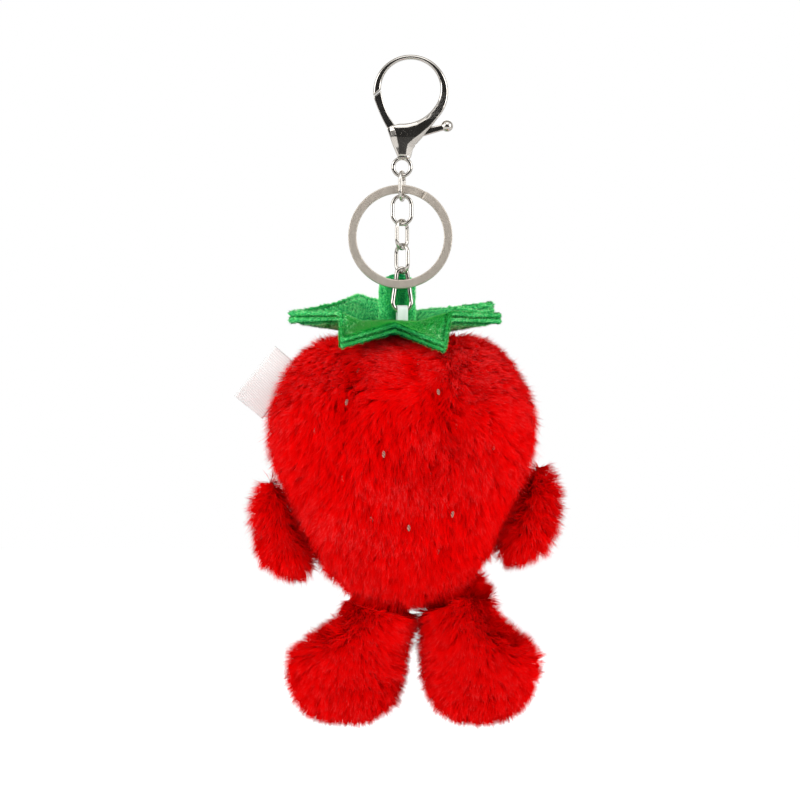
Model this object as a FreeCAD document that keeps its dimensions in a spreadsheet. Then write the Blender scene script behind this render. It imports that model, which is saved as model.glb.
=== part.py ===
import FreeCAD, Part
import math
import os
import Sketcher

Vector = FreeCAD.Vector
Rotation = FreeCAD.Rotation
Placement = FreeCAD.Placement

# ---------------------------------------------------------------- driving sizes
# Millimetres and degrees. The origin is where the clasp's hook hangs: the inner
# crown of the hook, straight above the chain. +Z is up, +X is to the right of
# someone who faces the object and -Y points at them.

SIZES = {
    # lobster clasp
    "hook_inner_radius": 8.57,
    "hook_outer_radius": 10.8,
    "hook_side_shift": 2.5,
    "hook_crown_wall": 1.3,
    "hook_thickness": 3.4,
    "hub_thickness": 5.0,
    "neck_thickness": 2.6,
    "slot_width": 2.5,
    "gate_side_gap": 0.15,
    "gate_end_gap": 0.18,
    "pivot_side": 0.6,
    "pivot_drop": 21.4,
    "gate_hub_radius": 2.0,
    "gate_knob_radius": 1.75,
    "gate_knob_side": 13.0,
    "gate_knob_drop": 18.8,
    "rivet_radius": 0.9,
    "rivet_running_gap": 0.04,
    "spring_wire": 0.3,
    "spring_radius": 1.4,
    "spring_turns": 3,
    "eye_width": 6.3,
    "eye_wire": 1.2,
    "eye_drop": 33.8,
    # chain, split ring and connector
    "link_length": 9.3,
    "link_width": 6.5,
    "link_wire": 1.1,
    "wire_play": 0.1,
    "link_one_turn": 78,
    "link_two_turn": 0,
    "link_three_turn": 57,
    "link_four_turn": -52,
    "connector_length": 13.7,
    "connector_width": 6.6,
    "connector_wire": 1.25,
    "connector_tip_radius": 1.5,
    "connector_turn": 10,
    "ring_width": 30.0,
    "ring_face": 2.4,
    "ring_leaf": 0.85,
    "ring_leaf_gap": 0.06,
    "ring_step_angle": 60,
    "ring_ramp_angle": 18,
    "ring_back_end_angle": 80,
    "ring_side": -0.5,
    "ring_forward": -0.6,
    "ring_rest_gap": 0.15,
    "ring_lean": 5.0,
    # ribbon loop, leafy cap and stem
    "ribbon_width": 3.0,
    "ribbon_play": 0.42,
    "ribbon_thickness": 0.35,
    "cap_drop": 75.3,
    "cap_side": -1.9,
    "cap_back": 2.0,
    "cap_flat_radius": 11.2,
    "cap_layer": 1.6,
    "stem_radius": 5.25,
    "stem_height": 9.9,
    "stem_dome": 4.2,
    "stem_side": -1.4,
    "stem_back": 6.9,
    "velvet_thickness": 1.2,
    # stuffed strawberry and its limbs
    "fruit_width": 77.0,
    "fruit_depth": 56.0,
    "fruit_height": 78.0,
    "plush_thickness": 5.0,
    "stuffing_gap": 0.7,
    "arm_length": 30.2,
    "arm_width": 15.4,
    "arm_depth": 15.2,
    "arm_lift": 45,
    "left_arm_inset": 1.7,
    "left_arm_share": 0.5064,
    "right_arm_inset": -0.1,
    "right_arm_share": 0.4551,
    "leg_height": 41.0,
    "foot_length": 33.4,
    "foot_depth": 22.0,
    "foot_hang": 32.7,
    "leg_swing": 10,
    "hip_hang": 3.5,
    "left_leg_side": 6.6,
    "left_foot_out": 9.4,
    "right_leg_side": 15.8,
    "right_foot_out": 6.4,
    "limb_gap": 0.5,
    # care label and stitched seeds
    "label_length": 18.6,
    "label_reach": 10.5,
    "label_thickness": 0.4,
    "label_slope": 51,
    "label_stand": 4.0,
    "label_drop": 10.9,
    "seed_length": 3.2,
    "seed_width": 1.5,
    "seed_height": 0.9,
    "seed_lift": 0.15,
}

# Outlines of the stuffed forms, from the top down. Each row is a level oval: how far down
# the height, how far out towards the limb's side, and the shares of full width and depth.
# The cap presses the strawberry's shoulders flatter in front and behind.
FRUIT_OUTLINE = [
    (0.0, 0, 0.30, 0.19), (0.018, 0, 0.52, 0.29), (0.05, 0, 0.66, 0.42), (0.12, 0, 0.81, 0.64),
    (0.24, 0, 0.95, 0.90), (0.36, 0, 1.0, 1.0), (0.50, 0, 0.945, 0.96), (0.66, 0, 0.81, 0.84),
    (0.82, 0, 0.66, 0.66), (0.93, 0, 0.46, 0.46), (0.98, 0, 0.28, 0.28), (1.0, 0, 0.12, 0.12),
]
ARM_OUTLINE = [
    (0.0, 0.0, 0.11, 0.11), (0.04, 0.0, 0.32, 0.32), (0.10, 0.01, 0.44, 0.44), (0.25, 0.02, 0.70, 0.70),
    (0.48, -0.04, 0.91, 0.91), (0.70, -0.16, 1.0, 1.0), (0.84, -0.25, 0.97, 0.97), (0.91, -0.30, 0.86, 0.86),
    (0.955, -0.33, 0.69, 0.69), (0.985, -0.355, 0.46, 0.46), (1.0, -0.37, 0.18, 0.18),
]
LEG_OUTLINE = [
    (0.0, 0.0, 0.55, 0.80), (0.12, 0.0, 0.58, 0.83), (0.232, 0.02, 0.62, 0.86), (0.344, 0.17, 0.675, 0.90),
    (0.40, 0.46, 0.77, 0.92), (0.456, 0.69, 0.88, 0.94), (0.515, 0.88, 0.95, 0.97), (0.571, 1.0, 1.0, 0.99),
    (0.683, 1.0, 0.98, 1.0), (0.795, 1.04, 0.91, 0.96), (0.851, 1.04, 0.85, 0.90), (0.90, 1.02, 0.76, 0.81),
    (0.935, 0.99, 0.66, 0.71), (0.96, 0.96, 0.55, 0.60), (0.98, 0.93, 0.42, 0.46), (0.992, 0.90, 0.28, 0.31),
    (1.0, 0.88, 0.12, 0.13),
]

# Leafy cap, seen from above: angle, reach from the cap's centre and rise, for each
# tip and for the valley that follows it.
LOBES = [
    ((-4, 30.5, 2.6), (14, 18.0, 4.6)),
    ((34, 34.5, 6.2), (72, 17.0, 4.0)),
    ((116, 24.5, 9.0), (150, 20.0, 6.4)),
    ((183, 30.5, 3.0), (210, 18.5, 3.2)),
    ((234, 26.5, -5.0), (270, 18.0, -0.4)),
    ((304, 25.5, -6.2), (330, 18.5, 3.0)),
]

# Seeds on the front: share of the half width across, and share of the height down.
SEEDS = [
    (-0.35, 0.145), (0.13, 0.115), (-0.41, 0.258), (0.27, 0.222), (-0.68, 0.36), (-0.04, 0.327),
    (0.42, 0.345), (0.72, 0.42), (-0.135, 0.442), (-0.46, 0.53), (0.22, 0.52), (-0.24, 0.68),
    (0.05, 0.709), (0.374, 0.66), (0.286, 0.797),
]

doc = FreeCAD.newDocument("plush_keychain")
sheet = doc.addObject("Spreadsheet::Sheet", "sizes")
for row, (alias, value) in enumerate(SIZES.items(), start=1):
    sheet.set(f"A{row}", alias)
    sheet.set(f"B{row}", str(value))
    sheet.setAlias(f"B{row}", alias)
doc.recompute()

finished = []  # the objects that become the part's pieces


def size(alias):
    return float(sheet.get(alias))


def bind(obj, **formulas):
    """Ties properties to the sheet: every word of a formula that is a size is a cell."""
    for prop, formula in formulas.items():
        words = formula.split(" ")
        tied = " ".join(f"sizes.{word}" if word in SIZES else word for word in words)
        obj.setExpression(prop.replace("_axis_", "."), tied)
    return obj


def make(kind, name, place=None, **formulas):
    obj = doc.addObject(kind, name)
    if place is not None:
        obj.Placement = place
    return bind(obj, **formulas)


def cut(name, base, tool):
    obj = doc.addObject("Part::Cut", name)
    obj.Base, obj.Tool = base, tool
    return obj


def common(name, base, tool):
    obj = doc.addObject("Part::Common", name)
    obj.Base, obj.Tool = base, tool
    return obj


def fuse(name, *pieces):
    obj = doc.addObject("Part::MultiFuse", name)
    obj.Shapes = list(pieces)
    return obj


def finish(obj, label):
    obj.Label = label
    finished.append(obj)
    return obj


def feature(label, shape):
    obj = doc.addObject("Part::Feature", label + "_shape")
    obj.Shape = shape
    return finish(obj, label)


def sketch(body, name, role, edges):
    """A closed outline on one of the body's own planes: lines of two points, arcs of three."""
    outline = body.newObject("Sketcher::SketchObject", name)
    plane = [f for f in body.Origin.OriginFeatures if f.Role == role][0]
    outline.AttachmentSupport = [(plane, "")]
    outline.MapMode = "FlatFace"
    for points in edges:
        corners = [Vector(x, y, 0) for x, y in points]
        if len(corners) == 2:
            outline.addGeometry(Part.LineSegment(*corners))
        else:
            outline.addGeometry(Part.Arc(*corners))
    return outline


def circle_sketch(body, name, role, centre, radius):
    """A circle whose radius is a formula on the sheet."""
    outline = body.newObject("Sketcher::SketchObject", name)
    plane = [f for f in body.Origin.OriginFeatures if f.Role == role][0]
    outline.AttachmentSupport = [(plane, "")]
    outline.MapMode = "FlatFace"
    outline.addGeometry(Part.Circle(Vector(centre[0], centre[1], 0), Vector(0, 0, 1), 1.0))
    outline.addConstraint(Sketcher.Constraint("Radius", 0, 1.0))
    outline.addConstraint(Sketcher.Constraint("DistanceX", 0, 3, centre[0]))
    outline.addConstraint(Sketcher.Constraint("DistanceY", 0, 3, centre[1]))
    bind(outline, **{"Constraints[0]": radius})
    return outline


def pad(body, name, outline, thickness):
    slab = body.newObject("PartDesign::Pad", name)
    slab.Profile = outline
    slab.SideType = "Symmetric"
    return bind(slab, Length=thickness)


def pocket(body, name, outline, width):
    hollow = body.newObject("PartDesign::Pocket", name)
    hollow.Profile = outline
    hollow.SideType = "Symmetric"
    return bind(hollow, Length=width)


def ring_point(centre, radius, angle):
    turn = math.radians(angle)
    return centre[0] + radius * math.cos(turn), centre[1] + radius * math.sin(turn)


# ---------------------------------------------------------------- lobster clasp
# The crown of the hook is thinnest at the top: its inner and outer rounds have the
# same side shift and different heights. All outlines lie in the XZ plane.

shift = size("hook_side_shift")
inner_radius, outer_radius = size("hook_inner_radius"), size("hook_outer_radius")
inner_centre = (shift, -math.sqrt(inner_radius**2 - shift**2))
crown = inner_centre[1] + inner_radius + size("hook_crown_wall")
outer_centre = (shift, crown - outer_radius)
pivot = (size("pivot_side"), -size("pivot_drop"))
knob = (size("gate_knob_side"), -size("gate_knob_drop"))
eye_radius = (size("eye_width") - size("eye_wire")) / 2
eye_height = -size("eye_drop") + size("eye_width") / 2

GATE_ANGLE = 186   # where the hook's nose ends, about the hook's own centre
NOSE_SLANT = 4.5   # the nose is cut on a slant, so the gate swings clear of it
LIMB_ANGLE = -38   # where the hook's round limb runs into the hub

nose_outer = ring_point(outer_centre, outer_radius, GATE_ANGLE)
nose_inner = ring_point(inner_centre, inner_radius, GATE_ANGLE - NOSE_SLANT)
limb_outer = ring_point(outer_centre, outer_radius, LIMB_ANGLE)
limb_inner = ring_point(inner_centre, inner_radius, LIMB_ANGLE)
seat = (pivot[0] - 1.2, pivot[1] + 3.2)         # inner floor of the opening, over the pivot
hub_left = (pivot[0] - 5.0, pivot[1] + 1.9)
hub_corner = (pivot[0] - 3.9, pivot[1] + 2.5)
neck_top = eye_height + eye_radius
neck_right = (pivot[0] + 1.9, neck_top)
neck_left = (pivot[0] - 1.7, neck_top)
shoulder_right = (pivot[0] + 2.6, pivot[1] - 4.0)
shoulder_left = (pivot[0] - 3.3, pivot[1] - 3.0)

clasp = doc.addObject("PartDesign::Body", "clasp")
hook_outline = sketch(clasp, "hook_outline", "XZ_Plane", [
    (nose_outer, ring_point(outer_centre, outer_radius, 90), limb_outer),
    (limb_outer, (limb_outer[0] - 3.2, limb_outer[1] - 3.4)),
    ((limb_outer[0] - 3.2, limb_outer[1] - 3.4), seat),
    (seat, (limb_inner[0] - 3.6, limb_inner[1] - 3.3), limb_inner),
    (limb_inner, ring_point(inner_centre, inner_radius, 90), nose_inner),
    (nose_inner, nose_outer),
])
pad(clasp, "hook", hook_outline, "hook_thickness")
hub_outline = sketch(clasp, "hub_outline", "XZ_Plane", [
    (hub_left, hub_corner),
    (hub_corner, seat),
    (seat, (limb_inner[0] - 3.6, limb_inner[1] - 3.3), limb_inner),
    (limb_inner, limb_outer),
    (limb_outer, shoulder_right),
    (shoulder_right, shoulder_left),
    (shoulder_left, hub_left),
])
pad(clasp, "hub", hub_outline, "hub_thickness")
neck_outline = sketch(clasp, "neck_outline", "XZ_Plane", [
    (shoulder_left, shoulder_right),
    (shoulder_right, neck_right),
    (neck_right, neck_left),
    (neck_left, shoulder_left),
])
pad(clasp, "neck", neck_outline, "neck_thickness")

# The slot holds the gate's hub and leaves room for its blade and its lever to swing.
hub_room = size("gate_hub_radius") + 0.25
slot_outline = sketch(clasp, "slot_outline", "XZ_Plane", [
    ((pivot[0] - 7.5, pivot[1] + 6.0), (pivot[0] + 0.6, pivot[1] + 6.0)),
    ((pivot[0] + 0.6, pivot[1] + 6.0), (pivot[0] + 0.6, pivot[1] + hub_room)),
    ((pivot[0] + 0.6, pivot[1] + hub_room), (pivot[0] + 14.0, pivot[1] + 4.6)),
    ((pivot[0] + 14.0, pivot[1] + 4.6), (pivot[0] + 14.0, pivot[1] - 8.0)),
    ((pivot[0] + 14.0, pivot[1] - 8.0), (pivot[0] + 1.0, pivot[1] - hub_room)),
    ((pivot[0] + 1.0, pivot[1] - hub_room), (pivot[0] - 1.4, pivot[1] - hub_room)),
    ((pivot[0] - 1.4, pivot[1] - hub_room), (pivot[0] - 7.5, pivot[1] + 1.4)),
    ((pivot[0] - 7.5, pivot[1] + 1.4), (pivot[0] - 7.5, pivot[1] + 6.0)),
])
pocket(clasp, "slot", slot_outline, "slot_width")
pocket(clasp, "rivet_hole", circle_sketch(clasp, "rivet_hole_outline", "XZ_Plane", pivot, "rivet_radius"),
       "hub_thickness + 2")
eye = make("Part::Torus", "eye", Placement(Vector(0, 0, eye_height), Rotation(Vector(1, 0, 0), 90)),
           Radius1="( eye_width - eye_wire ) / 2", Radius2="eye_wire / 2")
finish(fuse("clasp_and_eye", clasp, eye), "clasp_body")

# The gate: a curved blade up to the nose, a hub on the rivet and a lever with a knob.
# Its end face keeps a small gap to the nose, measured along the blade.
gap = size("gate_end_gap")
blade_outer = (nose_outer[0] + 0.04, nose_outer[1] - gap * 1.3)
blade_inner = (nose_inner[0] + 0.04, nose_inner[1] - gap * 1.3)
hub_radius = size("gate_hub_radius")
gate = doc.addObject("PartDesign::Body", "gate")
gate_outline = sketch(gate, "gate_outline", "XZ_Plane", [
    (blade_outer, (pivot[0] - 7.0, pivot[1] + 6.1), (pivot[0] - 4.3, pivot[1] + 0.9)),
    ((pivot[0] - 4.3, pivot[1] + 0.9), ring_point(pivot, hub_radius, 235)),
    (ring_point(pivot, hub_radius, 235), ring_point(pivot, hub_radius, 268), ring_point(pivot, hub_radius, 300)),
    (ring_point(pivot, hub_radius, 300), (knob[0], knob[1] - 1.0)),
    ((knob[0], knob[1] - 1.0), (knob[0], knob[1] + 0.8)),
    ((knob[0], knob[1] + 0.8), (pivot[0] + 7.0, pivot[1] + 2.2), ring_point(pivot, hub_radius, 62)),
    (ring_point(pivot, hub_radius, 62), ring_point(pivot, hub_radius, 90), ring_point(pivot, hub_radius, 118)),
    (ring_point(pivot, hub_radius, 118), (pivot[0] - 2.4, pivot[1] + 2.5)),
    ((pivot[0] - 2.4, pivot[1] + 2.5), (pivot[0] - 5.1, pivot[1] + 6.9), blade_inner),
    (blade_inner, blade_outer),
])
pad(gate, "lever", gate_outline, "slot_width - 2 * gate_side_gap")
pocket(gate, "rivet_bore", circle_sketch(gate, "rivet_bore_outline", "XZ_Plane", pivot,
                                         "rivet_radius + rivet_running_gap"), "slot_width")
knob_ball = make("Part::Sphere", "knob_ball", Placement(Vector(knob[0], 0, knob[1]), Rotation()),
                 Radius="gate_knob_radius")
lever = fuse("lever_and_knob", gate, knob_ball)
spring_space = make("Part::Cylinder", "spring_space",
                    Placement(Vector(pivot[0], size("slot_width"), pivot[1]), Rotation(Vector(1, 0, 0), 90)),
                    Radius="spring_radius + spring_wire / 2 + 0.12", Height="slot_width")
finish(cut("gate_with_spring_space", lever, spring_space), "clasp_gate")

finish(make("Part::Cylinder", "rivet",
            Placement(Vector(pivot[0], size("hub_thickness") / 2, pivot[1]), Rotation(Vector(1, 0, 0), 90)),
            Radius="rivet_radius", Height="hub_thickness"), "clasp_rivet")

# The return spring: close turns of wire round the rivet, in the gate's own recess. Each turn
# is a ring, joined to the next one by a short length of the same wire.
turns = int(size("spring_turns"))
pitch = size("spring_wire") + 0.06
coil_start = size("slot_width") / 2 - size("spring_wire") / 2 - 0.04
coil = []
for number in range(turns):
    level = coil_start - number * pitch
    turn = make("Part::Torus", f"spring_turn_{number}",
                Placement(Vector(pivot[0], level, pivot[1]), Rotation(Vector(1, 0, 0), 90)),
                Radius1="spring_radius", Radius2="spring_wire / 2")
    coil.append(turn)
    if number:
        side = -1 if number % 2 else 1
        coil.append(make("Part::Cylinder", f"spring_link_{number}",
                         Placement(Vector(pivot[0], level, pivot[1] + side * size("spring_radius")),
                                   Rotation(Vector(1, 0, 0), -90)),
                         Radius="spring_wire / 3", Height="spring_wire + 0.06"))
finish(fuse("spring", *coil), "clasp_spring")


# ---------------------------------------------------------------- chain
def wire_loop(label, top, bottom, wire, wide_radius, tip_radius, turn):
    """A closed loop of round wire that hangs upright. top and bottom are the heights of the
    wire's centre. Two bends, the upper one often tighter, are joined by tangent straights."""
    span = (top - tip_radius) - (bottom + wide_radius)
    slope = math.degrees(math.asin((wide_radius - tip_radius) / span))
    straight = span * math.cos(math.radians(slope))
    twist = Rotation(Vector(0, 0, 1), turn)
    upright = Rotation(Vector(1, 0, 0), 90)

    def bend(name, height, radius, start, sweep):
        torus = doc.addObject("Part::Torus", name)
        torus.Radius1, torus.Angle3 = radius, sweep
        bind(torus, Radius2=wire + " / 2")
        turned = twist.multiply(upright).multiply(Rotation(Vector(0, 0, 1), start))
        torus.Placement = Placement(Vector(0, 0, height), turned)
        return torus

    def leg(name, side):
        start = (side * wide_radius * math.cos(math.radians(slope)), 0,
                 bottom + wide_radius + wide_radius * math.sin(math.radians(slope)))
        rod = doc.addObject("Part::Cylinder", name)
        rod.Height = straight
        bind(rod, Radius=wire + " / 2")
        lean = Rotation(Vector(0, 1, 0), -side * slope)
        rod.Placement = Placement(twist.multVec(Vector(*start)), twist.multiply(lean))
        return rod

    loop = fuse(
        label + "_wire",
        bend(label + "_foot", bottom + wide_radius, wide_radius, 180 - slope, 180 + 2 * slope),
        bend(label + "_crown", top - tip_radius, tip_radius, slope, 180 - 2 * slope),
        leg(label + "_left", -1),
        leg(label + "_right", 1),
    )
    return finish(loop, label)


play = size("wire_play")
link_wire = size("link_wire")
link_bend = (size("link_width") - link_wire) / 2
link_reach = size("link_length") - link_wire
carried = (-size("eye_drop") + size("eye_wire") / 2, size("eye_wire"))
link_heights = []
for number, word in enumerate(["one", "two", "three", "four"], start=1):
    link_top = carried[0] + carried[1] / 2 + link_wire / 2 + play
    link_bottom = link_top - link_reach
    wire_loop(f"chain_link_{number}", link_top, link_bottom, "link_wire", link_bend, link_bend,
              size(f"link_{word}_turn"))
    link_heights.append((link_top, link_bottom))
    carried = (link_bottom, link_wire)

connector_wire = size("connector_wire")
connector_top = carried[0] + carried[1] / 2 + connector_wire / 2 + play
connector_bottom = connector_top - (size("connector_length") - connector_wire)
connector_bend = (size("connector_width") - connector_wire) / 2
wire_loop("connector_ring", connector_top, connector_bottom, "connector_wire",
          connector_bend, size("connector_tip_radius"), size("connector_turn"))

# ---------------------------------------------------------------- split ring
# Two flat leaves of one spring wire, joined by a ramp. Each leaf is a sector of a flat
# ring. Angles run from +X towards +Z. The ring leans forward against the chain.
ring_radius = size("ring_width") / 2
leaf_pitch = size("ring_leaf") + size("ring_leaf_gap")
step_angle, ramp_angle = size("ring_step_angle"), size("ring_ramp_angle")
ring_rest = link_heights[1][0] + link_wire / 2 + size("ring_rest_gap")  # it rests on the second link
ring_crown = Vector(size("ring_side"), size("ring_forward"), ring_rest + size("ring_face"))


def leaf(name, forward, start, sweep):
    """A flat sector: starts at an angle and runs clockwise, seen from the front."""
    sectors = []
    for part, formula, spare in (("outer", "ring_width / 2", 0), ("inner", "ring_width / 2 - ring_face", 1)):
        sector = doc.addObject("Part::Cylinder", f"{name}_{part}")
        sector.Angle = sweep if not spare else 360
        bind(sector, Radius=formula, Height=f"ring_leaf + {2 * spare}")
        facing = Rotation(Vector(1, 0, 0), 90).multiply(Rotation(Vector(0, 0, 1), start - sweep))
        sector.Placement = Placement(Vector(0, forward + size("ring_leaf") + spare, 0), facing)
        sectors.append(sector)
    return cut(name, *sectors)


def ramp_shape(start, sweep, front, back, steps):
    """The stretch of wire that passes from the front leaf to the back one."""
    sections = []
    for step in range(steps + 1):
        share = step / steps
        turn = math.radians(start - sweep * share)
        near = front + (back - front) * share
        corners = []
        for radius, depth in ((ring_radius, 0), (ring_radius, 1), (ring_radius - size("ring_face"), 1),
                              (ring_radius - size("ring_face"), 0)):
            corners.append(Vector(radius * math.cos(turn), near + depth * size("ring_leaf"), radius * math.sin(turn)))
        sections.append(Part.makePolygon(corners + corners[:1]))
    return Part.makeLoft(sections, True, True)


back_face = size("ring_leaf_gap") / 2
front_face = back_face - leaf_pitch
front_leaf = leaf("front_leaf", front_face, step_angle, 360 - ramp_angle)
back_leaf = leaf("back_leaf", back_face, step_angle, 360 + step_angle - size("ring_back_end_angle"))
ramp = doc.addObject("Part::Feature", "ramp")
ramp.Shape = ramp_shape(step_angle + ramp_angle, ramp_angle, front_face, back_face, 4)
split_ring = fuse("split_ring_wire", front_leaf, back_leaf, ramp)
lean = Rotation(Vector(1, 0, 0), -size("ring_lean"))
split_ring.Placement = Placement(ring_crown - lean.multVec(Vector(0, 0, ring_radius)), lean)
finish(split_ring, "split_ring")

# ---------------------------------------------------------------- ribbon loop
# A narrow satin ribbon goes up from the cap, round the connector's foot and down again.
ribbon_inner = connector_wire / 2 + size("ribbon_play")
# The wire under the ribbon curves, so the fold stands clear of it at the ribbon's edges.
ribbon_fold = connector_bottom + connector_bend - math.sqrt(connector_bend**2 - size("ribbon_width")**2 / 4)
ribbon_outer = ribbon_inner + size("ribbon_thickness")
cap_top = -size("cap_drop")
ribbon = doc.addObject("PartDesign::Body", "ribbon")
ribbon_outline = sketch(ribbon, "ribbon_outline", "YZ_Plane", [
    ((-ribbon_outer, cap_top), (-ribbon_outer, ribbon_fold)),
    ((-ribbon_outer, ribbon_fold), (0, ribbon_fold + ribbon_outer), (ribbon_outer, ribbon_fold)),
    ((ribbon_outer, ribbon_fold), (ribbon_outer, cap_top)),
    ((ribbon_outer, cap_top), (ribbon_inner, cap_top)),
    ((ribbon_inner, cap_top), (ribbon_inner, ribbon_fold)),
    ((ribbon_inner, ribbon_fold), (0, ribbon_fold + ribbon_inner), (-ribbon_inner, ribbon_fold)),
    ((-ribbon_inner, ribbon_fold), (-ribbon_inner, cap_top)),
    ((-ribbon_inner, cap_top), (-ribbon_outer, cap_top)),
])
pad(ribbon, "ribbon_band", ribbon_outline, "ribbon_width")
ribbon.Placement = Placement(Vector(0, 0, 0), Rotation(Vector(0, 0, 1), size("connector_turn")))
finish(ribbon, "hanging_ribbon")


# ---------------------------------------------------------------- leafy cap and stem
def cap_layer_shape(top):
    """One velvet layer of the cap: a flat middle, with six lobes that rise or droop."""
    thickness = size("cap_layer")
    outline = [point for lobe in LOBES for point in lobe]
    rings = {"inner": [], "outer": []}
    for angle, reach, rise in outline:
        across, back = math.cos(math.radians(angle)), math.sin(math.radians(angle))
        flat = size("cap_flat_radius")
        for name, radius, height in (("inner", flat, 0), ("outer", reach, rise)):
            rings[name].append(Vector(size("cap_side") + radius * across, size("cap_back") + radius * back,
                                      top + height))
    down = Vector(0, 0, -thickness)
    faces = []
    for layer, drop in (("upper", Vector(0, 0, 0)), ("lower", down)):
        inner = [p + drop for p in rings["inner"]]
        outer = [p + drop for p in rings["outer"]]
        faces.append(Part.Face(Part.makePolygon(inner + inner[:1])))
        for n in range(len(outline)):
            m = (n + 1) % len(outline)
            for corners in ((inner[n], outer[n], outer[m]), (inner[n], outer[m], inner[m])):
                faces.append(Part.Face(Part.makePolygon(list(corners) + [corners[0]])))
    for n in range(len(outline)):
        m = (n + 1) % len(outline)
        a, b = rings["outer"][n], rings["outer"][m]
        faces.append(Part.Face(Part.makePolygon([a, b, b + down, a + down, a])))
    shell = Part.Shell(faces)
    shell.sewShape()
    solid = Part.Solid(shell)
    solid.fix(1e-6, 1e-6, 1e-6)
    return solid


feature("leaf_cap_top", cap_layer_shape(cap_top))
feature("leaf_cap_lining", cap_layer_shape(cap_top - size("cap_layer")))

stem_foot = Vector(size("stem_side"), size("stem_back"), cap_top)


def stub(name, trim, lift):
    """A round-topped stub, smaller all round by trim and starting lift above the cap."""
    post = make("Part::Cylinder", name + "_post", Placement(stem_foot + Vector(0, 0, lift), Rotation()),
                Radius=f"stem_radius - {trim}", Height=f"stem_height - {lift}")
    dome = make("Part::Ellipsoid", name + "_dome",
                Placement(stem_foot + Vector(0, 0, size("stem_height")), Rotation()),
                Radius1=f"stem_dome - {trim}", Radius2=f"stem_radius - {trim}",
                Radius3=f"stem_radius - {trim}")
    return fuse(name, post, dome)


velvet = size("velvet_thickness")
finish(cut("stem_tube", stub("stem_outside", 0, 0), stub("stem_hollow", velvet, 0)), "stem_velvet")
finish(stub("stem_core", velvet + size("stuffing_gap"), 0.1), "stem_stuffing")

# ---------------------------------------------------------------- stuffed forms
fruit_top = cap_top - 2 * size("cap_layer")
fruit_foot = fruit_top - size("fruit_height")
fruit_side = size("fruit_width") / 2
pile = size("plush_thickness")


def shoulder_place(side, out):
    """Where an arm's top oval is centred: a share of the way down the strawberry's side."""
    height = fruit_top - size(f"{side}_arm_share") * size("fruit_height")
    return Vector(out * (fruit_side - size(f"{side}_arm_inset")), 0, height)


def oval_form(name, trim, outline, top, across, out, tall, wide, deep):
    """A loft through level ovals, smaller all round by trim (larger if it is below 0). top and
    across place the first oval, out is the reach of the outline's own sideways shares. What is
    inside, where trim is above 0, runs straight from oval to oval."""
    rounds = []
    for number, (down, aside, width, depth) in enumerate(outline):
        oval = doc.addObject("Part::Ellipse", f"{name}_oval_{number}")
        level = top - trim - down * (size(tall) - 2 * trim)
        oval.Placement = Placement(Vector(across + aside * out, 0, level), Rotation())
        bind(oval, MajorRadius=f"( {wide} / 2 - {trim} ) * {width}",
             MinorRadius=f"( {deep} / 2 - {trim} ) * {depth}")
        rounds.append(oval)
    loft = doc.addObject("Part::Loft", name)
    loft.Sections, loft.Solid, loft.Ruled = rounds, True, trim > 0
    return loft


def fruit_form(name, trim):
    return oval_form(name, trim, FRUIT_OUTLINE, fruit_top, 0, 0, "fruit_height", "fruit_width", "fruit_depth")


def arm_form(name, trim, side):
    out = 1 if side == "right" else -1
    place = shoulder_place(side, out)
    return oval_form(name, trim, ARM_OUTLINE, place.z, place.x, out * size("arm_width"),
                     "arm_length", "arm_width", "arm_depth")


def leg_form(name, trim, side):
    out = 1 if side == "right" else -1
    return oval_form(name, trim, LEG_OUTLINE, fruit_foot - size("foot_hang") + size("leg_height"),
                     out * size(f"{side}_leg_side"), out * size(f"{side}_foot_out"),
                     "leg_height", "foot_length", "foot_depth")


def room_for_fruit(name, hinge, axis, angles):
    """The space the strawberry takes, with a gap, as a limb sees it while it swings."""
    places = []
    for number, angle in enumerate(angles):
        form = fruit_form(f"{name}_{number}", -size("limb_gap"))
        form.Placement = Placement(Vector(0, 0, 0), Rotation(axis, angle), hinge)
        places.append(form)
    return fuse(name, *places)


def sewn(label, form, room=None):
    """Two pile-fabric panels that meet at the side seam, round a loose core of stuffing.
    form(name, trim) gives the closed shape. room, if any, is cut away where it meets it."""
    outside, inside = form(label + "_outside", 0), form(label + "_inside", pile)
    skin = cut(label + "_skin", outside, inside)
    core = form(label + "_core", pile + size("stuffing_gap"))
    if room:
        skin, core = cut(label + "_cleared_skin", skin, room), cut(label + "_cleared_core", core, room)
        core.Placement = Placement(Vector(0, 0, -size("stuffing_gap") / 4), Rotation())  # settled a little
    width = size("fruit_width") * 3
    for side, back in (("front", -width), ("back", 0)):
        half = doc.addObject("Part::Box", f"{label}_{side}_half")
        half.Length, half.Width, half.Height = width, width, width
        half.Placement = Placement(Vector(-width / 2, back, -width), Rotation())
        finish(common(f"{label}_{side}_skin", skin, half), f"{label}_{side}_panel")
    finish(core, f"{label}_stuffing")
    return outside


fruit = sewn("fruit", fruit_form)
for side, out in (("left", -1), ("right", 1)):
    shoulder = shoulder_place(side, out) - Vector(0, 0, 3)
    lift = size("arm_lift") * out
    sewn(f"{side}_arm", lambda name, trim: arm_form(name, trim, side),
         room_for_fruit(f"{side}_arm_room", shoulder, Vector(0, 1, 0), [0, lift / 2, lift]))
    hip = Vector(out * size(f"{side}_leg_side"), 0, fruit_foot - size("hip_hang"))
    swing = size("leg_swing")
    sewn(f"{side}_leg", lambda name, trim: leg_form(name, trim, side),
         room_for_fruit(f"{side}_leg_room", hip, Vector(1, 0, 0), [-swing, 0, swing]))

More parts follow.
